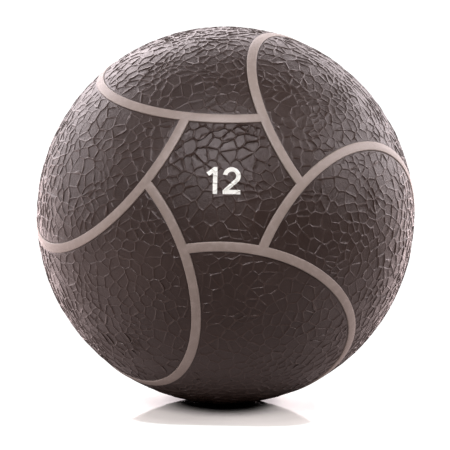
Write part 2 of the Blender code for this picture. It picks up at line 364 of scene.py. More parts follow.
class Cells:
    """All cells as padded arrays, each outline also flat in its cell's tangent plane (mm)."""

    def __init__(self, crest, outlines, corners):
        n = self.count = len(outlines)
        most = self.most = max(map(len, outlines))
        sides = max(map(len, corners))
        self.loop = np.full((n, most), -1)
        size = np.array([len(outline) for outline in outlines])
        side_count = np.array([len(ids) for ids in corners])
        corner = np.full((n, sides), -1)
        for row, (outline, ids) in enumerate(zip(outlines, corners)):
            self.loop[row, : len(outline)] = outline
            corner[row, : len(ids)] = ids
            corner[row, len(ids):] = ids[-1]
        slots = np.arange(most)[None, :]
        self.valid = slots < size[:, None]
        self.after = np.where(slots + 1 < size[:, None], slots + 1, 0)
        self.before = np.where(slots > 0, slots - 1, size[:, None] - 1)

        border = np.where(self.valid[..., None], self.on_outline(crest), 0.0)
        self.centre = unit(border.sum(1))
        self.u, self.v = tangents(self.centre)
        self.edge_xy = self.flatten(border)

        # each side as an inward normal and its distance from the origin
        corner_xy = self.flatten(crest[corner])
        following = np.roll(corner_xy, -1, axis=1)
        following[np.arange(n), side_count - 1] = corner_xy[:, 0]
        along = following - corner_xy
        long_enough = np.linalg.norm(along, axis=2) > 1e-6
        self.real = (np.arange(sides)[None, :] < side_count[:, None]) & long_enough
        along = unit(along, 1e-9)
        self.normal = np.stack([-along[..., 1], along[..., 0]], -1)
        self.base = (self.normal * corner_xy).sum(-1)

    def on_outline(self, values):
        """Crest values at the outline slots; unused slots hold the first value."""
        return values[np.where(self.valid, self.loop, 0)]

    def flatten(self, dirs):
        depth = (dirs * self.centre[:, None, :]).sum(-1)
        depth = np.where(np.abs(depth) < 1e-9, 1.0, depth)
        x = (dirs * self.u[:, None, :]).sum(-1) / depth
        y = (dirs * self.v[:, None, :]).sum(-1) / depth
        return np.stack([x, y], -1) * PANEL_R

    def lift(self, xy):
        """Directions of points in the tangent planes."""
        sideways = xy[..., 0:1] * self.u[:, None, :] + xy[..., 1:2] * self.v[:, None, :]
        return unit(self.centre[:, None, :] + sideways / PANEL_R)

    def smooth_distance(self, xy, power=10.0):
        """Distance from the cell's sides, with the corners rounded off."""
        d = np.einsum("cmk,csk->cms", xy, self.normal) - self.base[:, None, :]
        d = np.maximum(d, 1e-3)
        d = np.where(self.real[:, None, :], d, 1e3)
        return (d ** -power).sum(-1) ** (-1 / power)

    def ring_scales(self, foot):
        """How far each ring shrinks the outline, to lie its step of the vein's foot inside."""
        shape = (self.count, self.most)
        scales, previous = [], np.ones(shape)
        for step in RING_STEPS:
            want = (step * foot)[:, None]
            lo, hi = np.zeros(shape), np.ones(shape)
            for _ in range(18):
                mid = 0.5 * (lo + hi)
                too_near = self.smooth_distance(self.edge_xy * mid[..., None]) < want
                hi = np.where(too_near, mid, hi)
                lo = np.where(too_near, lo, mid)
            scale = 0.5 * (lo + hi)
            beside = (np.take_along_axis(scale, self.after, 1)
                      + np.take_along_axis(scale, self.before, 1))
            scale = 0.66 * scale + 0.17 * beside
            # rings never cross the one outside, nor shrink too much at once
            scale = np.minimum(scale, previous * 0.93)
            scale = np.maximum(scale, previous * 0.45)
            scales.append(scale)
            previous = scale
        return scales


def vein_profile(distance):
    """A vein's height share at a distance from its crest, in half widths."""
    wave = 0.5 + 0.5 * np.cos(np.pi * np.clip(distance, 0, 1))
    return np.where(distance < 1, wave, 0.0)


def vein_cover():
    """The whole ball's relief as a patch with heights (mm) and crest shares."""
    rng = np.random.default_rng(SEED)
    junctions, rings = voronoi_network(rng)
    junctions, root = merge_junctions(junctions, rings)
    junctions = distort(rng, junctions)
    crest, outlines, corners = trace_crests(rng, junctions, root, rings)
    cells = Cells(crest, outlines, corners)
    n, valid = cells.count, cells.valid

    foot = VEIN_W * np.clip(rng.normal(1.0, 0.12, n), 0.75, 1.3)
    scales = cells.ring_scales(foot)

    # floor of each cell: a slight dome or dish, and a slight tilt
    dome = rng.normal(0.015, 0.035, n)
    tilt = rng.normal(0.0, 0.010, (n, 2))

    # veins swell and sink along their length, and some sink much further
    swell = 1.0 + 0.22 * waves(rng, crest, 26.0) + 0.20 * waves(rng, crest, 9.0)
    swell = np.clip(swell, 0.25, 1.25)
    swell *= np.clip(1.45 + 1.1 * waves(rng, crest, 13.0), 0.4, 1.0)
    swell_here = np.where(valid, cells.on_outline(swell), 1.0)

    dirs = [crest]
    heights = [VEIN_H * swell]
    crests = [np.clip(swell, 0, 1)]
    tris = []
    rows = np.arange(n)[:, None]
    outer, count = cells.loop, len(crest)
    for scale in scales:
        xy = cells.edge_xy * scale[..., None]
        rise = vein_profile(cells.smooth_distance(xy) / foot[:, None]) * swell_here
        lean = (xy * tilt[:, None, :]).sum(-1)
        ids = np.full(valid.shape, -1)
        ids[valid] = count + np.arange(valid.sum())
        count += int(valid.sum())
        dirs.append(cells.lift(xy)[valid])
        heights.append((VEIN_H * rise + lean * np.clip(1 - rise, 0, 1))[valid])
        crests.append(np.clip(rise, 0, 1)[valid])
        outer_next, ids_next = outer[rows, cells.after], ids[rows, cells.after]
        tris.append(np.stack([outer, outer_next, ids_next], -1)[valid])
        tris.append(np.stack([outer, ids_next, ids], -1)[valid])
        outer = ids

    # a fan to each cell's middle
    rise = vein_profile(cells.smooth_distance(np.zeros((n, 1, 2)))[:, 0] / foot)
    dirs.append(cells.centre)
    heights.append(VEIN_H * rise + dome * (1 - rise))
    crests.append(rise)
    middle = np.repeat((count + np.arange(n))[:, None], cells.most, 1)
    tris.append(np.stack([outer, outer[rows, cells.after], middle], -1)[valid])
    values = [np.concatenate(heights), np.concatenate(crests)]
    return np.concatenate(dirs), values, np.concatenate(tris)


# ---- Cutting patches along signed-distance fields ------------------------------------
def compact(dirs, values, tris):
    """The patch without unused points."""
    used, numbers = np.unique(tris, return_inverse=True)
    return dirs[used], [v[used] for v in values], numbers.reshape(-1, 3)


def slide_onto(field, dirs):
    """Moves directions onto the field's zero curve, down its slope found by a small step."""
    u, v = tangents(dirs)
    step = 1e-4
    here = field(dirs)
    slope_u = (field(dirs + step * u) - here) / step
    slope_v = (field(dirs + step * v) - here) / step
    steep = np.maximum(slope_u * slope_u + slope_v * slope_v, 1e-9)
    return unit(dirs - (here / steep)[:, None] * (slope_u[:, None] * u + slope_v[:, None] * v))


def cut_places(field, start, end, at_start, at_end):
    """Where the field is zero between pairs of directions: shares of the way, and places."""

    def place(t):
        return unit(start + (end - start) * t[:, None])

    lo, hi = np.zeros(len(start)), np.ones(len(start))
    t = at_start / (at_start - at_end)
    change = np.where(np.abs(at_end - at_start) < 1e-12, 1.0, (at_end - at_start))
    for _ in range(6):
        here = field(place(t)) * PANEL_R
        same = here * at_start > 0
        lo = np.where(same, t, lo)
        hi = np.where(same, hi, t)
        t = np.clip(t - here * (hi - lo) / change, lo, hi)
    return t, place(t)


def split(dirs, values, tris, field, keep_both=False, snap=0.05):
    """Cuts a patch where field changes sign, and drops the negative side unless keep_both.

    Corners within `snap` mm of the curve are moved onto it first, so that no slivers form.
    """
    dirs = dirs.copy()
    f = field(dirs) * PANEL_R
    near = np.nonzero(np.abs(f) < snap)[0]
    if len(near):
        dirs[near] = slide_onto(field, dirs[near])
        f[near] = 0.0
    sign = np.sign(f)
    corner_sign = sign[tris]
    cut = (corner_sign.max(1) > 0) & (corner_sign.min(1) < 0)
    out, out_side = [tris[~cut]], [sign[tris[~cut]].sum(1)]
    cut_tris = tris[cut]

    # new points, one for each cut edge
    pairs = tri_edges(cut_tris)
    crosses = sign[pairs[:, 0]] * sign[pairs[:, 1]] < 0
    cut_edges, inverse = np.unique(
        np.sort(pairs, axis=1)[crosses], axis=0, return_inverse=True)
    start, end = cut_edges[:, 0], cut_edges[:, 1]
    t, places = cut_places(field, dirs[start], dirs[end], f[start], f[end])
    where = np.full(len(pairs), -1)
    where[crosses] = len(dirs) + inverse.reshape(-1)
    dirs = np.concatenate([dirs, places])
    values = [np.concatenate([v, v[start] + (v[end] - v[start]) * t]) for v in values]
    mid = where.reshape(3, -1).T             # on edges 01, 12, 20
    cut_sign = sign[cut_tris]

    for j in range(3):
        order = [(j + i) % 3 for i in range(3)]
        a, b, c = (cut_tris[:, i] for i in order)
        sign_a, sign_b, sign_c = (cut_sign[:, i] for i in order)
        mid_ab, mid_bc, mid_ca = (mid[:, i] for i in order)
        alone = (sign_a * sign_b < 0) & (sign_a * sign_c < 0)
        on_curve = (sign_a == 0) & (sign_b * sign_c < 0)
        for corners, side, pick in (
            ((a, mid_ab, mid_ca), sign_a, alone),
            ((mid_ab, b, c), sign_b, alone),
            ((mid_ab, c, mid_ca), sign_c, alone),
            ((a, b, mid_bc), sign_b, on_curve),
            ((a, mid_bc, c), sign_c, on_curve),
        ):
            out.append(np.stack(corners, 1)[pick])
            out_side.append(side[pick])
    tris = np.concatenate(out)
    if keep_both:
        return dirs, values, tris
    return compact(dirs, values, tris[np.concatenate(out_side) > 0])


def rim_loops(tris):
    """Closed loops of edges that belong to one triangle, in the triangles' own direction."""
    edges = tri_edges(tris)
    _, inverse, counts = np.unique(
        np.sort(edges, axis=1), axis=0, return_inverse=True, return_counts=True)
    lone = edges[counts[inverse.reshape(-1)] == 1]
    after = {int(a): int(b) for a, b in lone}
    if len(after) != len(lone):
        raise RuntimeError("the outline touches itself")
    loops = []
    while after:
        here = next(iter(after))
        loop = []
        while here in after:
            loop.append(here)
            here = after.pop(here)
        loops.append(loop)
    return sorted(loops, key=len, reverse=True)


def in_loops(points, loops):
    """Which flat points lie inside the loops, by the even-odd rule."""
    x, y = points[:, 0], points[:, 1]
    inside = np.zeros(len(x), bool)
    for loop in loops:
        for (x1, y1), (x2, y2) in zip(loop, np.roll(loop, -1, axis=0)):
            if y1 == y2:
                continue
            inside ^= ((y1 > y) != (y2 > y)) & (x < (x2 - x1) * (y - y1) / (y2 - y1) + x1)
    return inside


def triangulate(points, edges, epsilon):
    """Constrained Delaunay: places, triangles, and the input points behind each place."""
    places, _, faces, origins, _, _ = delaunay_2d_cdt(
        [Vector(p) for p in points], edges, [], 0, epsilon, True)
    faces = np.array([f for f in faces if len(f) == 3])
    return np.array([p[:] for p in places]), faces, origins


# ---- Closing a panel ---------------------------------------------------------------
def ico_directions(level):
    bm = bmesh.new()
    bmesh.ops.create_icosphere(bm, subdivisions=level, radius=1.0)
    points = np.array([v.co[:] for v in bm.verts])
    bm.free()
    return unit(points)


def flat_map(dirs, view):
    """Stereographic map as seen from `view`."""
    ref = np.array([1.0, 0, 0]) if abs(view[0]) < 0.9 else np.array([0, 1.0, 0])
    u = unit(np.cross(ref, view))
    v = np.cross(view, u)
    depth = 1.0 + dirs @ view
    return np.stack([dirs @ u / depth, dirs @ v / depth], 1)


def underside(rims, view):
    """Inner grid directions, and triangles over the rims' points followed by the grid's."""
    rim = np.concatenate(rims)
    inner = ico_directions(5)
    inner = inner[(inner @ view) > -0.5]
    inner = inner[(inner @ rim.T).max(1) < math.cos(math.radians(2.2))]
    flat_rims = [flat_map(r, view) for r in rims]
    inner = inner[in_loops(flat_map(inner, view), flat_rims)]
    dirs = np.concatenate([rim, inner])
    flat = flat_map(dirs, view)
    edges, start = [], 0
    for r in rims:
        n = len(r)
        edges += [(start + i, start + (i + 1) % n) for i in range(n)]
        start += n
    places, faces, origins = triangulate(flat, edges, 1e-9)
    source = np.array([
        ids[0] if ids else np.argmin(((flat - place) ** 2).sum(1))
        for ids, place in zip(origins, places)
    ])
    faces = source[faces[in_loops(places[faces].mean(1), flat_rims)]]
    # turned to face the ball's centre
    outward = (face_normals(dirs, faces) * dirs[faces].sum(1)).sum(1) > 0
    faces[outward] = faces[outward][:, ::-1]
    return inner, faces


def close_below(dirs, heights, tris, view):
    """Adds side walls and an underside to a relief, and returns points (mm) and triangles."""
    points = [dirs * (PANEL_R + heights)[:, None]]
    tris = [tris]
    count = len(dirs)
    rims, rim_ids = [], []
    for loop in rim_loops(tris[0]):
        upper = np.array(loop)
        rim = dirs[upper]
        for radius in (PANEL_R - EDGE_ROLL - WALL_ROW, PANEL_IN):
            lower = count + np.arange(len(rim))
            points.append(rim * radius)
            count += len(rim)
            upper_next, lower_next = np.roll(upper, -1), np.roll(lower, -1)
            tris.append(np.stack([upper_next, upper, lower], 1))
            tris.append(np.stack([upper_next, lower, lower_next], 1))
            upper = lower
        rims.append(rim)
        rim_ids.append(upper)
    inner, faces = underside(rims, view)
    ids = np.concatenate(rim_ids + [count + np.arange(len(inner))])
    points.append(inner * PANEL_IN)
    tris.append(ids[faces])
    return np.concatenate(points), np.concatenate(tris)


# ---- Objects -----------------------------------------------------------------------
def make_object(name, points, tris, materials, node=None, attributes=None, material_index=None):
    """An object from pattern-frame points (mm), replacing CAD piece `node` if given."""
    mesh = bpy.data.meshes.new(name)
    places = (points @ PATTERN_TO_FRAME.T) * MM
    corners, faces = 3 * len(tris), len(tris)
    mesh.vertices.add(len(places))
    mesh.vertices.foreach_set("co", places.astype(np.float32).ravel())
    mesh.loops.add(corners)
    mesh.loops.foreach_set("vertex_index", tris.astype(np.int32).ravel())
    mesh.polygons.add(faces)
    mesh.polygons.foreach_set("loop_start", np.arange(0, corners, 3, dtype=np.int32))
    mesh.polygons.foreach_set("loop_total", np.full(faces, 3, np.int32))
    for material in materials:
        mesh.materials.append(material)
    if material_index is not None:
        mesh.polygons.foreach_set("material_index", material_index.astype(np.int32))
    mesh.update(calc_edges=True)
    for key, values in (attributes or {}).items():
        layer = mesh.attributes.new(key, "FLOAT", "POINT")
        layer.data.foreach_set("value", values.astype(np.float32))
    mesh.shade_smooth()
    mesh.set_sharp_from_angle(angle=math.radians(62))
    mesh.validate()
    obj = bpy.data.objects.new(name, mesh)
    bpy.context.scene.collection.objects.link(obj)
    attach(obj, "root")
    if node:
        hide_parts(node)
    return obj


def build_panel(name, node, cover, near, fields, view, materials, painter=None, boldness=None):
    """Cuts a panel from the cover, rolls its edge, closes it and makes the object.

    `near` are fields that roughly bound the panel, `fields` its exact outline.
    """
    dirs, values, tris = cover
    keep = np.ones(len(dirs), bool)
    for bound in near:
        keep &= bound(dirs) > 0
    patch = compact(dirs, values, tris[keep[tris].any(1)])
    for field in fields:
        patch = split(*patch, field)
    for offset in EDGE_ROWS:
        for field in fields:
            inset = lambda p: field(p) - offset / PANEL_R
            patch = compact(*split(*patch, inset, keep_both=True, snap=0.04))
    dirs, (heights, crests), tris = patch
    edge = np.min([field(dirs) for field in fields], axis=0) * PANEL_R
    fade = smoothstep((edge - 0.2) / 1.7)    # the veins die away towards the edge
    roll = -EDGE_ROLL * np.clip(1 - edge / EDGE_ROLL_W, 0, 1) ** 2
    heights = heights * fade * (boldness(dirs) if boldness else 1.0) + roll
    crests = crests * fade
    inked = None
    if painter:
        dirs, (heights, crests, edge), tris, inked = painter(dirs, [heights, crests, edge], tris)
    points, tris = close_below(dirs, heights, tris, view)
    below = np.zeros(len(points) - len(dirs))
    attributes = {
        "vein": np.concatenate([crests, below]),
        "edge": np.concatenate([edge, below]),
    }
    index = None
    if inked is not None:
        index = np.zeros(len(tris), int)
        index[: len(inked)] = inked
    obj = make_object(name, points, tris, materials, node, attributes, index)


# ---- Seam ribs ---------------------------------------------------------------------
RIB_ROUND = 0.60                         # shoulder radius
RIB_CROWN = 0.14                         # height of the middle over the shoulders
RIB_WALL_ROW = 0.8                       # depth of an extra row below the shoulder
RIB_END_SINK = 0.05
RIB_STEPS = 190                          # along each half of a rib


def rib_section():
    """(sideways mm, radius) pairs across a rib, with rounded shoulders and a faint crown."""
    half = HALF_RIB * RIB_R
    top = RIB_R - RIB_CROWN
    left = [(-half, RIB_IN), (-half, top - RIB_ROUND - RIB_WALL_ROW), (-half, top - RIB_ROUND)]
    for i in range(1, 6):
        a = i / 6 * math.pi / 2
        drop = RIB_ROUND * (1 - math.sin(a))
        left.append((-half + RIB_ROUND * (1 - math.cos(a)), top - drop))
    flat = half - RIB_ROUND
    crown = []
    for i in range(7):
        x = -flat + 2 * flat * i / 6
        crown.append((x, RIB_R - RIB_CROWN * (x / flat) ** 2))
    return left + crown + [(-x, r) for x, r in reversed(left)]


def build_rib(k, material):
    """Rib 1's shape, turned about the pole to place k."""
    own, neighbour = SEAMS[0], SEAMS[1]
    # the ends are tucked under the neighbour's shoulder
    reach = (HALF_RIB * RIB_R - RIB_ROUND + 0.02) / RIB_R

    def half_line(offset, count):
        """Points from the neighbour towards the touching point."""
        end = crossing(own.front, CIRCLE_R + offset, neighbour.front, CIRCLE_R + reach)
        turns = own.turn_of(end) * (1 - np.arange(count) / RIB_STEPS)
        return np.array([own.point(turn, offset) for turn in turns])

    lines = []
    for x, radius in rib_section():
        front = half_line(x / RIB_R, RIB_STEPS + 1)
        rear = own.half_turn(half_line(-x / RIB_R, RIB_STEPS))[::-1]
        lines.append(np.concatenate([front, rear]) * radius)
    grid = np.array(lines)                   # across, along
    across, along = grid.shape[:2]
    # the end rows sink a hair, so that they never lie in the neighbour's top
    for end in (0, -1):
        grid[:, end] *= (RIB_R - RIB_END_SINK) / RIB_R
    points = grid.reshape(-1, 3)
    ids = np.arange(across * along).reshape(across, along)
    beside = np.roll(ids, -1, axis=0)
    tris = [
        np.stack([ids[:, :-1], ids[:, 1:], beside[:, 1:]], -1).reshape(-1, 3),
        np.stack([ids[:, :-1], beside[:, 1:], beside[:, :-1]], -1).reshape(-1, 3),
    ]
    caps = []
    for end, order in ((0, 1), (along - 1, -1)):
        for j in range(across // 2 - 1):
            rows = (j, j + 1, across - 2 - j, across - 1 - j)
            a, b, c, d = [ids[row, end] for row in rows][::order]
            caps += [[a, b, c], [a, c, d]]
    tris = np.concatenate(tris + [np.array(caps)])
    corners = points[tris]
    if (np.cross(corners[:, 0], corners[:, 1]) * corners[:, 2]).sum() < 0:
        tris = tris[:, ::-1]
    turn = np.array(Matrix.Rotation(-math.radians(SECTOR) * k, 3, "Z"))
    rib = make_object(f"rib_{k + 1}", points @ turn.T, tris, [material], f"seam_rib_{k + 1}")


# ---- Materials ---------------------------------------------------------------------
class Nodes:
    """A node tree, with short ways to add to it."""

    def __init__(self, tree):
        self.tree = tree

    def put(self, socket, value):
        """Links a socket, or sets its value."""
        if isinstance(value, bpy.types.NodeSocket):
            self.tree.links.new(value, socket)
        else:
            socket.default_value = value

    def add(self, kind, inputs=None, **settings):
        node = self.tree.nodes.new(kind)
        for key, value in settings.items():
            setattr(node, key, value)
        for key, value in (inputs or {}).items():
            self.put(node.inputs[key], value)
        return node

    def noise(self, vector, scale, detail=3.0, rough=0.5):
        inputs = {"Vector": vector, "Scale": scale, "Detail": detail, "Roughness": rough}
        return self.add("ShaderNodeTexNoise", inputs).outputs["Fac"]

    def ramp(self, value, low, high, to_low=0.0, to_high=1.0, kind="LINEAR"):
        inputs = {
            "Value": value, "From Min": low, "From Max": high, "To Min": to_low, "To Max": to_high,
        }
        return self.add("ShaderNodeMapRange", inputs, interpolation_type=kind).outputs["Result"]

    def smooth_ramp(self, value, low, high, to_low=0.0, to_high=1.0):
        return self.ramp(value, low, high, to_low, to_high, kind="SMOOTHSTEP")

    def math(self, op, a, b=0.0, clamp=False):
        inputs = {0: a, 1: b}
        return self.add("ShaderNodeMath", inputs, operation=op, use_clamp=clamp).outputs[0]

    def weighted_sum(self, terms):
        """Sum of (node name, field, weight) terms; the name goes to the weighting node."""
        total = None
        for name, field, weight in terms:
            term = self.math("MULTIPLY", field, weight)
            term.node.name = name
            total = term if total is None else self.math("ADD", total, term)
        return total

    def vector(self, op, *values):
        inputs = dict(enumerate(values))
        return self.add("ShaderNodeVectorMath", inputs, operation=op)

    def mix(self, share, first, second):
        """Mixes two colours, given as sockets or RGB."""
        node = self.add("ShaderNodeMix", {0: share}, data_type="RGBA")
        for key, colour in ((6, first), (7, second)):
            self.put(node.inputs[key], (*colour, 1.0) if isinstance(colour, tuple) else colour)
        return node.outputs[2]

    def attribute(self, name):
        return self.add("ShaderNodeAttribute", attribute_name=name).outputs["Fac"]

    def bump(self, height, strength, distance, normal=None):
        inputs = {"Height": height, "Strength": strength, "Distance": distance}
        if normal is not None:
            inputs["Normal"] = normal
        return self.add("ShaderNodeBump", inputs).outputs["Normal"]

    def shader(self, kind, inputs):
        return self.add(kind, inputs).outputs[0]

    def mix_shader(self, share, first, second):
        return self.shader("ShaderNodeMixShader", {0: share, 1: first, 2: second})

    def is_camera_ray(self):
        return self.add("ShaderNodeLightPath").outputs["Is Camera Ray"]


class Material(Nodes):
    """A new material's tree, with its Principled shader and object coordinates."""

    def __init__(self, name):
        self.material = bpy.data.materials.new(name)
        self.material.use_nodes = True
        super().__init__(self.material.node_tree)
        self.place = self.add("ShaderNodeTexCoord").outputs["Object"]

    def finish(self, inputs):
        """Sets the Principled shader's inputs and returns the material."""
        bsdf = self.tree.nodes["Principled BSDF"]
        for key, value in inputs.items():
            self.put(bsdf.inputs[key], value)
        return self.material


def srgb(*levels):
    """Linear RGB from 0-255 sRGB levels."""

    def linear(c):
        c /= 255.0
        return c / 12.92 if c <= 0.04045 else ((c + 0.055) / 1.055) ** 2.4

    return tuple(linear(level) for level in levels)


def panel_rubber():
    """Semi-matt brown-black cover rubber, its vein crests a little shinier and with a painted
    highlight that makes them paler.
    """
    dust = (0.0394, 0.0261, 0.0198)
    roughness = 0.41
    m = Material("panel_rubber")
    broad = m.noise(m.place, scale=14.0, detail=2.0)
    blotch = m.noise(m.place, scale=120.0, rough=0.6)
    fine = m.noise(m.place, scale=1500.0, rough=0.6)
    grit = m.noise(m.place, scale=4200.0, detail=2.0, rough=0.6)
    pebble = m.noise(m.place, scale=560.0, detail=2.0, rough=0.55)
    vein = m.attribute("vein")
    colour = m.mix(m.ramp(broad, low=0.35, high=0.65),
                   (0.0170, 0.0091, 0.0060), (0.0220, 0.0121, 0.0081))
    colour = m.mix(m.ramp(blotch, low=0.5, high=0.8, to_high=0.35), colour, dust)
    colour = m.mix(m.ramp(fine, low=0.56, high=0.72, to_high=0.30), colour, dust)
    # painted highlight: the vein crests are mixed towards a paler brown
    crest_highlight = m.math("MULTIPLY", vein, 0.30)
    colour = m.mix(crest_highlight, colour, (0.0627, 0.0421, 0.0325))
    rough = m.ramp(blotch, low=0.3, high=0.7, to_low=roughness - 0.05, to_high=roughness + 0.06)
    rough = m.math("ADD", rough, m.math("MULTIPLY", vein, -0.06))
    speckle = m.ramp(fine, low=0.3, high=0.7, to_low=-0.03, to_high=0.03)
    normal = m.bump(pebble, strength=0.5, distance=0.00035)
    normal = m.bump(fine, strength=0.6, distance=0.00024, normal=normal)
    return m.finish({
        "Base Color": colour,
        "Roughness": m.math("ADD", rough, speckle, clamp=True),
        "Specular IOR Level": 0.455,
        "Sheen Weight": 0.0,
        "Sheen Roughness": 0.5,
        "Sheen Tint": (1.0, 0.93, 0.9, 1.0),
        "Normal": m.bump(grit, strength=0.4, distance=0.00006, normal=normal),
    })


def rib_rubber():
    """Seam rib rubber: matt warm grey with a fine dusty speckle."""
    dark = (0.1828, 0.1572, 0.1324)
    roughness = 0.52
    m = Material("rib_rubber")
    broad = m.noise(m.place, scale=18.0, detail=2.0)
    mottle = m.noise(m.place, scale=260.0, rough=0.6)
    speck = m.noise(m.place, scale=1700.0, detail=2.0, rough=0.65)
    grain = m.noise(m.place, scale=900.0, rough=0.6)
    colour = m.mix(m.ramp(broad, low=0.35, high=0.65), dark, (0.2284, 0.1994, 0.1703))
    pale = m.ramp(mottle, low=0.45, high=0.8, to_high=0.5)
    colour = m.mix(pale, colour, (0.3147, 0.2902, 0.2577))
    colour = m.mix(m.ramp(speck, low=0.58, high=0.74, to_high=0.4), colour, dark)
    normal = m.bump(grain, strength=0.5, distance=0.00012)
    return m.finish({
        "Base Color": colour,
        "Roughness": m.ramp(mottle, low=0.3, high=0.7,
                            to_low=roughness - 0.06, to_high=roughness + 0.06),
        "Specular IOR Level": 0.87,
        "Sheen Weight": 0.0,
        "Sheen Roughness": 0.5,
        "Normal": m.bump(speck, strength=0.45, distance=0.00006, normal=normal),
    })


def marking_ink():
    """Thin white ink, worn in patches and with painted shade on the vein crests, so that the veins
    read through.
    """
    m = Material("marking_ink")
    patch = m.noise(m.place, scale=420.0, detail=4.0, rough=0.65)
    fine = m.noise(m.place, scale=2600.0, rough=0.6)
    # painted shade: the ink is darkened along the vein crests
    painted_crest_shade = m.math("MULTIPLY", m.attribute("vein"), 0.10)
    wear_and_painted_crest_shade = m.ramp(patch, low=0.42, high=0.72, to_high=0.12)
    wear_and_painted_crest_shade = m.math("ADD", wear_and_painted_crest_shade, painted_crest_shade, clamp=True)
    return m.finish({
        "Base Color": m.mix(wear_and_painted_crest_shade, (0.78, 0.86, 0.80), (0.30, 0.29, 0.28)),
        "Roughness": m.ramp(patch, low=0.3, high=0.7, to_low=0.50, to_high=0.64),
        "Specular IOR Level": 0.35,
        "Normal": m.bump(fine, strength=0.4, distance=0.00005),
    })


def inner_rubber(name, dark, light, roughness, scale):
    """Mottled rubber between two colours, with pale flecks."""
    m = Material(name)
    mottle = m.noise(m.place, scale=scale, detail=4.0, rough=0.6)
    fine = m.noise(m.place, scale=scale * 9, rough=0.6)
    colour = m.mix(m.ramp(mottle, low=0.35, high=0.68), dark, light)
    flecks = m.ramp(fine, low=0.55, high=0.75, to_high=0.35)
    return m.finish({
        "Base Color": m.mix(flecks, colour, tuple(c * 1.6 for c in light)),
        "Roughness": m.ramp(mottle, low=0.3, high=0.7,
                            to_low=roughness - 0.07, to_high=roughness + 0.07),
        "Normal": m.bump(fine, strength=0.5, distance=0.0002),
    })


def winding_thread():
    """Wound nylon thread set in rubber, seen only if the cover is off."""
    m = Material("winding_thread")
    strands = None
    # one set of strands for each turn of the coordinates
    for rotation in ((0.3, 0.9, 0.1), (1.4, 0.2, 0.8), (2.3, 1.1, 1.9)):
        turned = m.add("ShaderNodeMapping", {"Vector": m.place, "Rotation": rotation})
        wave = m.add("ShaderNodeTexWave", {
            "Vector": turned.outputs["Vector"], "Scale": 420.0,
            "Distortion": 1.6, "Detail": 2.0, "Detail Scale": 0.2,
        }).outputs["Fac"]
        strands = wave if strands is None else m.math("MAXIMUM", strands, wave)
    colour = m.mix(m.ramp(strands, low=0.35, high=0.95), srgb(92, 84, 70), srgb(205, 196, 176))
    return m.finish({
        "Base Color": colour,
        "Roughness": m.ramp(m.noise(m.place, scale=300.0), low=0.3, high=0.7,
                            to_low=0.6, to_high=0.8),
        "Sheen Weight": 0.3,
        "Normal": m.bump(strands, strength=0.8, distance=0.0004),
    })


# ---- The marking: the figures 12, drawn on the plane that touches the front pole -----
MARK_ORIGIN = (-12.4, -8.0)              # the drawing's origin, from the pole
MARK_STEP = 0.9                          # longest step between outline points


def arc(centre_x, centre_y, r, start, end, n):
    """Points on an arc, angles in degrees."""
    angles = [math.radians(start + (end - start) * i / n) for i in range(n + 1)]
    return [(centre_x + r * math.cos(a), centre_y + r * math.sin(a)) for a in angles]


# (x, y) round each figure
FIGURE_ONE = [
    (6.2, 0), (8.8, 0), (8.8, 16.0), (6.6, 16.0), (2.4, 12.6), (4.0, 10.6), (6.2, 12.4),
]
FIGURE_TWO = (
    arc(17.2, 10.8, 5.2, 172, -38, 30)
    + [(15.6, 2.6), (22.4, 2.6), (22.4, 0), (12.0, 0), (12.0, 2.2)]
    + arc(17.2, 10.8, 2.6, -38, 172, 22)
)


def mark_outlines():
    """The outlines, with points close enough together to follow the surface."""
    out = []
    for figure in (FIGURE_ONE, FIGURE_TWO):
        corners = np.array(figure)
        dense = []
        for a, b in zip(corners, np.roll(corners, -1, axis=0)):
            n = max(1, int(np.linalg.norm(b - a) / MARK_STEP))
            dense += [a + (b - a) * i / n for i in range(n)]
        out.append(np.array(dense) + MARK_ORIGIN)
    return out


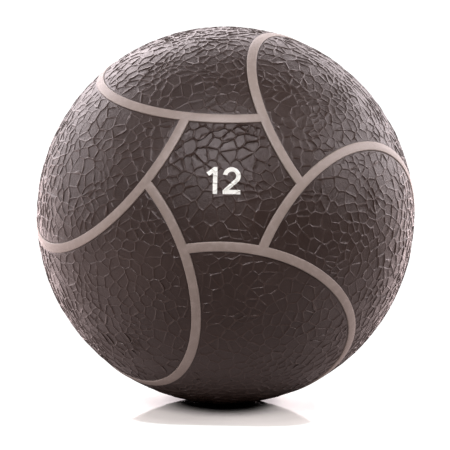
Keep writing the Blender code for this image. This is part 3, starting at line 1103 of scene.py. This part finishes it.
def print_marking(dirs, values, tris):
    """Cuts the outlines into the panel's own triangles, so the ink lies exactly on the relief.

    Returns the patch's three parts and a 0 or 1 per triangle for ink.
    """
    flat = dirs[:, :2] / dirs[:, 2:3] * PANEL_R
    outlines = mark_outlines()
    both = np.concatenate(outlines)
    within = ((flat > both.min(0) - 1.0) & (flat < both.max(0) + 1.0)).all(1)
    region = within[tris].any(1)
    used, local = np.unique(tris[region], return_inverse=True)
    local = local.reshape(-1, 3)
    xy = flat[used]
    edges = np.unique(np.sort(tri_edges(local), axis=1), axis=0)
    links = [(int(a), int(b)) for a, b in edges]
    first = len(xy)
    for outline in outlines:
        n = len(outline)
        links += [(first + i, first + (i + 1) % n) for i in range(n)]
        first += n
    made, faces, origins = triangulate(np.concatenate([xy, both]), links, 1e-7)
    source = np.full(len(made), -1)
    for i, ids in enumerate(origins):
        for j in ids:
            if j < len(used):
                source[i] = used[j]
                break
    tree = BVHTree.FromPolygons(
        [(x, y, 0.0) for x, y in xy], [tuple(int(i) for i in t) for t in local])

    def owner(point):
        """The old triangle under a flat point, or -1."""
        _, _, index, distance = tree.find_nearest(Vector((point[0], point[1], 0.0)))
        return index if distance < 1e-3 else -1

    middle = made[faces].mean(1)
    owned = np.array([owner(p) for p in middle]) >= 0
    faces, middle = faces[owned], middle[owned]

    # new points take their values from the old triangle they lie in
    new_id = source.copy()
    fresh = np.nonzero((source < 0) & np.isin(np.arange(len(made)), faces))[0]
    new_id[fresh] = len(dirs) + np.arange(len(fresh))
    under = local[np.maximum(np.array([owner(made[i]) for i in fresh]), 0)]
    a, b, c = (xy[under[:, j]] for j in range(3))
    p = made[fresh]

    def doubled_area(first, second):
        return ((first[:, 0] - a[:, 0]) * (second[:, 1] - a[:, 1])
                - (second[:, 0] - a[:, 0]) * (first[:, 1] - a[:, 1]))

    whole = doubled_area(b, c)
    share_b = doubled_area(p, c) / whole
    share_c = ((b[:, 0] - a[:, 0]) * (p[:, 1] - a[:, 1])
               - (p[:, 0] - a[:, 0]) * (b[:, 1] - a[:, 1])) / whole
    share_a = 1 - share_b - share_c
    id_a, id_b, id_c = used[under].T
    values = [
        np.concatenate([v, share_a * v[id_a] + share_b * v[id_b] + share_c * v[id_c]])
        for v in values
    ]
    lifted = np.stack([p[:, 0], p[:, 1], np.full(len(p), PANEL_R)], 1)
    dirs = np.concatenate([dirs, unit(lifted)])
    inked = in_loops(middle, outlines).astype(int)
    tris = np.concatenate([tris[~region], new_id[faces]])
    return dirs, values, tris, np.concatenate([np.zeros((~region).sum(), int), inked])


# ---- The cover ---------------------------------------------------------------------
def bold_above(dirs):
    """The front panel's relief is bolder towards its upper edge."""
    return 1.1 + 0.65 * smoothstep((dirs[:, 1] * PANEL_R - 4.0) / 12.0)


def hexagon(mirror):
    """Outline fields of a hexagon: outside six front circles, after `mirror` of the axes."""
    return [lambda p, s=s: s.outside_front(p * mirror) - HALF_SEAM for s in SEAMS[:SECTORS]]


def build_cover(rubber, ink):
    cover = vein_cover()
    cap = math.cos(math.radians(36.0))
    build_panel(
        "panel_hex_front", "hex_panel_front", cover,
        near=[lambda p: p[:, 2] - cap],
        fields=hexagon(np.array([1.0, 1.0, 1.0])),
        view=np.array([0, 0, 1.0]), materials=[rubber, ink],
        painter=print_marking, boldness=bold_above,
    )
    # the rear one is half-turned about X and has a round hole in its middle
    hole = lambda p: np.arccos(np.clip(-p[:, 2], -1, 1)) - HOLE_R / PANEL_R
    build_panel(
        "panel_hex_rear", "hex_panel_rear", cover,
        near=[lambda p: -p[:, 2] - cap],
        fields=hexagon(np.array([1.0, -1.0, -1.0])) + [hole],
        view=np.array([0, 0, -1.0]), materials=[rubber],
    )
    for k in range(SECTORS):
        own, after = SEAMS[k], SEAMS[k + 1]
        middle = unit(own.front + after.rear)
        build_panel(
            f"panel_petal_{k + 1}", f"petal_panel_{k + 1}", cover,
            near=[
                lambda p: p @ middle - math.cos(math.radians(80.0)),
                lambda p: -own.distance(p) + 0.08,
                lambda p: after.distance(p) + 0.08,
            ],
            fields=[
                lambda p: -own.distance(p) - HALF_SEAM,
                lambda p: after.distance(p) - HALF_SEAM,
            ],
            view=middle, materials=[rubber],
        )


# (radius, height over the panel's sphere) from the pip's top to its foot
PIP_PROFILE = [(0.0, 0.95), (0.35, 0.9), (0.65, 0.68), (0.85, 0.2), (0.95, -0.5)]
PIP_SIDES = 20


def build_pip(rubber):
    """The small pip that the mould's vent leaves on the front panel, upper right."""
    at = unit(np.array([27.3, 10.9, PANEL_R]))
    u = unit(np.cross([0, 1.0, 0], at))
    v = np.cross(at, u)
    n = PIP_SIDES
    points, tris = [], []
    for r, height in PIP_PROFILE:
        for i in range(n if r else 1):
            a = 2 * math.pi * i / n
            points.append(at * (PANEL_R + height) + r * (math.cos(a) * u + math.sin(a) * v))
    for i in range(n):
        tris.append([0, 1 + i, 1 + (i + 1) % n])
    for ring in range(len(PIP_PROFILE) - 2):
        upper, lower = 1 + ring * n, 1 + (ring + 1) * n
        for i in range(n):
            j = (i + 1) % n
            tris += [[upper + i, lower + i, lower + j], [upper + i, lower + j, upper + j]]
    base = len(points)
    points.append(at * (PANEL_R + PIP_PROFILE[-1][1]))
    last = base - n
    for i in range(n):
        tris.append([base, last + (i + 1) % n, last + i])
    # the whole pip counts as a vein crest, so its rubber takes the crests' painted highlight
    attributes = {"vein": np.full(len(points), 1.0), "edge": np.full(len(points), 9.0)}
    pip = make_object(
        "mould_pip", np.array(points), np.array(tris), [rubber], attributes=attributes)


def finish_inner_pieces():
    """The pieces under the cover keep their CAD solids and get their own finishes."""
    core = inner_rubber("core_rubber", dark=srgb(38, 36, 35), light=srgb(58, 55, 52),
                        roughness=0.72, scale=90.0)
    bladder = inner_rubber("butyl_bladder", dark=srgb(30, 30, 32), light=srgb(44, 44, 46),
                           roughness=0.45, scale=60.0)
    housing = inner_rubber("valve_rubber", dark=srgb(30, 28, 27), light=srgb(46, 42, 40),
                           roughness=0.5, scale=400.0)
    plug = inner_rubber("valve_plug", dark=srgb(52, 44, 38), light=srgb(76, 64, 54),
                        roughness=0.42, scale=500.0)
    for node, slot, material in (
        ("core_half_front", "core_rubber", core),
        ("core_half_rear", "core_rubber", core),
        ("bladder", "bladder_rubber", bladder),
        ("valve_housing", "valve_rubber", housing),
        ("valve_core", "valve_plug", plug),
        ("winding_layer", "winding_thread", winding_thread()),
    ):
        obj = frame["nodes"][node]
        obj.data.materials.clear()
        obj.data.materials.append(material)


# ---- Floor -------------------------------------------------------------------------
FLOOR_Z = -0.1197
FLOOR_HALF = 30.0
SHADE_Y = -0.022                         # middle of the shaded patch
SHADE_HALF_X, SHADE_HALF_Y = 0.062, 0.057
FLOOR_BODY = 1.82
FLOOR_TINT = (0.95, 0.985, 0.93)
FLOOR_MIRROR = 0.42                      # share of mirror over body
FLOOR_ROUGH = 0.05
FLOOR_GLOW = (1.15, 0.92, 0.92)
BACKDROP = 1.2                           # white that the camera sees round the ball
WHITE = (1, 1, 1, 1)
# What the floor sends up at the ball: under it, near it, then far off to each side.
FLOOR_LIGHT = {
    "under": 0.603,
    "near_right": 1.100, "near_left": 1.366, "near_back": 5.652, "near_front": 0.425,
    "far_right": 0.000, "far_left": 1.034, "far_back": 8.194, "far_front": 0.442,
}


def floor_seen(f, place, away):
    """What the camera sees: a glossy patch under the ball, fading to white."""
    spot = f.add("ShaderNodeSeparateXYZ", {"Vector": place})

    def fourth_power(offset, half):
        return f.math("POWER", f.math("DIVIDE", f.math("ABSOLUTE", offset), half), 4.0)

    across = fourth_power(spot.outputs["X"], SHADE_HALF_X)
    along = fourth_power(f.math("ADD", spot.outputs["Y"], -SHADE_Y), SHADE_HALF_Y)
    edge = f.math("POWER", f.math("ADD", across, along), 0.25)
    fade = f.smooth_ramp(edge, low=0.93, high=1.02)

    # painted contact shadow: the body's colour goes dark where the ball rests, and painted shade
    # dims it again further out
    painted_contact_shadow = f.smooth_ramp(away, low=0.0255, high=0.041)
    painted_outer_shade = f.smooth_ramp(away, low=0.045, high=0.072, to_low=1.0, to_high=0.69)
    painted_shading = f.math("MULTIPLY", painted_contact_shadow, painted_outer_shade)
    painted_shade_tone = f.mix(painted_shading, (0.01, 0.01, 0.01), tuple(FLOOR_BODY * c for c in FLOOR_TINT))
    body = f.shader("ShaderNodeBsdfDiffuse", {"Color": painted_shade_tone})
    gloss = f.shader("ShaderNodeBsdfGlossy", {"Color": WHITE, "Roughness": FLOOR_ROUGH})
    white = f.shader("ShaderNodeEmission", {"Color": WHITE, "Strength": BACKDROP})
    return f.mix_shader(fade, f.mix_shader(FLOOR_MIRROR, body, gloss), white)


def floor_lit(f, flat, away):
    """What every other ray sees: a glow that differs by distance and side."""
    bearing = f.vector("NORMALIZE", flat).outputs[0]
    sides = f.add("ShaderNodeSeparateXYZ", {"Vector": bearing})
    clear = f.smooth_ramp(away, low=0.09, high=0.17)
    far = f.smooth_ramp(away, low=0.25, high=0.6)
    near = f.math("SUBTRACT", clear, far)
    beyond_contact = f.smooth_ramp(away, low=0.04, high=0.09)
    shares = {"under": f.math("MULTIPLY", f.math("SUBTRACT", 1.0, clear), beyond_contact)}
    for side, axis, sign in (
        ("right", "X", 1.0), ("left", "X", -1.0), ("back", "Y", 1.0), ("front", "Y", -1.0),
    ):
        part = f.math("MAXIMUM", f.math("MULTIPLY", sides.outputs[axis], sign), 0.0)
        part = f.math("MULTIPLY", part, part)
        shares["near_" + side] = f.math("MULTIPLY", part, near)
        shares["far_" + side] = f.math("MULTIPLY", part, far)
    glow = f.weighted_sum(
        (f"floor_{key}", share, FLOOR_LIGHT[key]) for key, share in shares.items())
    return f.shader("ShaderNodeEmission", {"Color": (*FLOOR_GLOW, 1.0), "Strength": glow})


def floor_gloss():
    material = bpy.data.materials.new("floor_gloss")
    material.use_nodes = True
    f = Nodes(material.node_tree)
    f.tree.nodes.remove(f.tree.nodes["Principled BSDF"])
    place = f.add("ShaderNodeNewGeometry").outputs["Position"]
    flat = f.vector("MULTIPLY", place, (1, 1, 0)).outputs[0]
    away = f.vector("LENGTH", flat).outputs["Value"]
    surface = f.mix_shader(
        f.is_camera_ray(), floor_lit(f, flat, away), floor_seen(f, place, away))
    f.put(f.tree.nodes["Material Output"].inputs["Surface"], surface)
    return material


def build_floor():
    mesh = bpy.data.meshes.new("floor")
    bm = bmesh.new()
    bmesh.ops.create_grid(bm, x_segments=8, y_segments=8, size=FLOOR_HALF)
    bm.to_mesh(mesh)
    bm.free()
    floor = bpy.data.objects.new("floor", mesh)
    floor.location = (0, 0, FLOOR_Z)
    bpy.context.scene.collection.objects.link(floor)
    mesh.materials.append(floor_gloss())


# ---- World light -------------------------------------------------------------------
LIGHT_TINT = (1.07, 0.95, 0.98)
# Soft lights in the sky: azimuth (from -Y towards +X), elevation, half width, strength.
# Angles in degrees.
LIGHTS = [
    (80, 14, 11.0, 0.555), (120, 14, 11.0, 4.417), (140, 14, 11.0, 7.033),
    (160, 14, 11.0, 2.668), (180, 14, 11.0, 0.702), (200, 14, 11.0, 3.472),
    (220, 14, 11.0, 5.714), (240, 14, 11.0, 1.910), (260, 14, 11.0, 5.638),
    (90, 30, 11.0, 14.319), (130, 30, 11.0, 0.744), (150, 30, 11.0, 4.688),
    (170, 30, 11.0, 2.318), (190, 30, 11.0, 7.435), (210, 30, 11.0, 6.429),
    (230, 30, 11.0, 3.974), (270, 30, 11.0, 2.058),
    (180, 50, 14.0, 1.520), (230, 50, 14.0, 1.089), (295, 20, 17.0, 0.532),
    (350, 42, 11.0, 17.376), (10, 42, 11.0, 1.191), (0, 56, 11.0, 7.343),
    (346, 58, 11.0, 2.300),
]


def direction_of(azimuth, elevation):
    """Unit vector from angles in radians, the azimuth from -Y towards +X."""
    flat = math.cos(elevation)
    return (math.sin(azimuth) * flat, -math.cos(azimuth) * flat, math.sin(elevation))


def build_world():
    world = bpy.data.worlds.new("studio")
    bpy.context.scene.world = world
    world.use_nodes = True
    w = Nodes(world.node_tree)
    w.tree.nodes.clear()
    ray = w.add("ShaderNodeTexCoord").outputs["Generated"]
    lobes = []
    for i, (azimuth, elevation, width, strength) in enumerate(LIGHTS):
        aim = direction_of(math.radians(azimuth), math.radians(elevation))
        sharpness = 1.0 / (1.0 - math.cos(math.radians(width)))
        closeness = w.vector("DOT_PRODUCT", ray, aim).outputs["Value"]
        falloff = w.math("MULTIPLY", w.math("SUBTRACT", closeness, 1.0), sharpness)
        lobes.append((f"lobe_{i}", w.math("EXPONENT", falloff), strength))
    glow = w.shader("ShaderNodeBackground", {
        "Color": (*LIGHT_TINT, 1.0), "Strength": w.weighted_sum(lobes),
    })
    sky = w.shader("ShaderNodeBackground", {"Color": WHITE, "Strength": BACKDROP})
    shown = w.mix_shader(w.is_camera_ray(), glow, sky)
    w.add("ShaderNodeOutputWorld", {"Surface": shown})


# ---- Camera ------------------------------------------------------------------------
CAMERA_AZIMUTH = math.radians(0.77)
CAMERA_ELEVATION = math.radians(6.75)
CAMERA_ROLL = math.radians(0.96)
CAMERA_FAR = 1.391                       # from the ball's centre


def build_camera():
    data = bpy.data.cameras.new("camera")
    data.lens = 174.96
    data.sensor_width = 36.0
    data.shift_x = -0.001288889
    data.shift_y = -0.0218
    data.clip_start = 0.05
    data.clip_end = 80.0
    camera = bpy.data.objects.new("camera", data)
    back = Vector(direction_of(CAMERA_AZIMUTH, CAMERA_ELEVATION))
    camera.location = back * CAMERA_FAR
    camera.rotation_mode = "QUATERNION"
    roll = Quaternion((0, 0, 1), CAMERA_ROLL)
    camera.rotation_quaternion = (-back).to_track_quat("-Z", "Y") @ roll
    scene = bpy.context.scene
    scene.collection.objects.link(camera)
    scene.camera = camera
    scene.view_settings.view_transform = "Standard"
    scene.view_settings.look = "None"


# ---- Build -------------------------------------------------------------------------
cover_material = panel_rubber()
rib_material = rib_rubber()
ink_material = marking_ink()

build_cover(cover_material, ink_material)
build_pip(cover_material)
for k in range(SECTORS):
    build_rib(k, rib_material)
finish_inner_pieces()
build_floor()
build_world()
build_camera()
